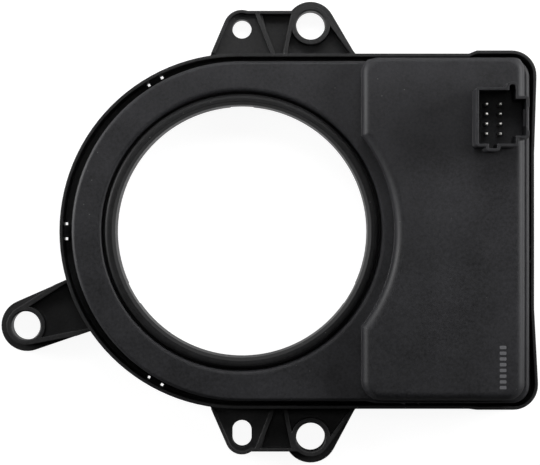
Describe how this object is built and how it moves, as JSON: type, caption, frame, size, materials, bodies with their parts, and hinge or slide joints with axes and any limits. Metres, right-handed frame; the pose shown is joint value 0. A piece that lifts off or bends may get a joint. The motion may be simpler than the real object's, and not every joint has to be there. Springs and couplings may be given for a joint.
{
  "type": "steering angle sensor",
  "caption": "Flat ring-shaped sensor that bolts round a steering column and reads the turn of the wheel with a geared rotor, with an electronics bay and a plug socket.",
  "frame": {"origin": "on the steering column's axis, in the plane of the face that bolts to the column", "axes": "+Z along the column from the bolting face to the plug socket, +X to the electronics bay, +Y to the ear with the round pilot hole"},
  "size_m": [0.1392, 0.1201, 0.025],
  "materials": {
    "housing_plastic": "matte",
    "cover_plastic": "matte",
    "rotor_plastic": "satin",
    "gear_plastic": "satin",
    "magnet": "satin",
    "board": "gloss",
    "header_plastic": "matte",
    "chip_package": "matte",
    "crystal_can": "satin",
    "capacitor_body": "satin",
    "capacitor_ceramic": "matte",
    "pin_metal": "satin"
  },
  "bodies": {
    "housing": {"rear_housing": "housing_plastic", "front_cover": "cover_plastic", "circuit_board": "board", "pin_header": "header_plastic", "sensor_chip_a": "chip_package", "sensor_chip_b": "chip_package", "microcontroller": "chip_package", "bus_transceiver": "chip_package", "voltage_regulator": "chip_package", "clock_crystal": "crystal_can", "tantalum_capacitor": "capacitor_body", "filter_capacitors": "capacitor_ceramic", "pin_1": "pin_metal", "pin_2": "pin_metal", "pin_3": "pin_metal", "pin_4": "pin_metal", "pin_5": "pin_metal", "pin_6": "pin_metal", "pin_7": "pin_metal", "pin_8": "pin_metal"},
    "rotor": {"rotor_ring": "rotor_plastic"},
    "gear_a": {"measuring_gear_a": "gear_plastic", "magnet_a": "magnet"},
    "gear_b": {"measuring_gear_b": "gear_plastic", "magnet_b": "magnet"}
  },
  "joints": [
    {"name": "rotor_turn", "type": "hinge", "parent": "housing", "child": "rotor", "pos_m": [0, 0, 0], "axis": [0, 0, 1], "continuous": true},
    {"name": "gear_a_turn", "type": "hinge", "parent": "housing", "child": "gear_a", "pos_m": [0.04385, 0.01952, 0], "axis": [0, 0, 1], "continuous": true},
    {"name": "gear_b_turn", "type": "hinge", "parent": "housing", "child": "gear_b", "pos_m": [0.04431, -0.01973, 0], "axis": [0, 0, 1], "continuous": true}
  ],
  "couplings": [
    {"joint": "gear_a_turn", "follows": "rotor_turn", "ratio": -3.8},
    {"joint": "gear_b_turn", "follows": "rotor_turn", "ratio": -3.619}
  ]
}
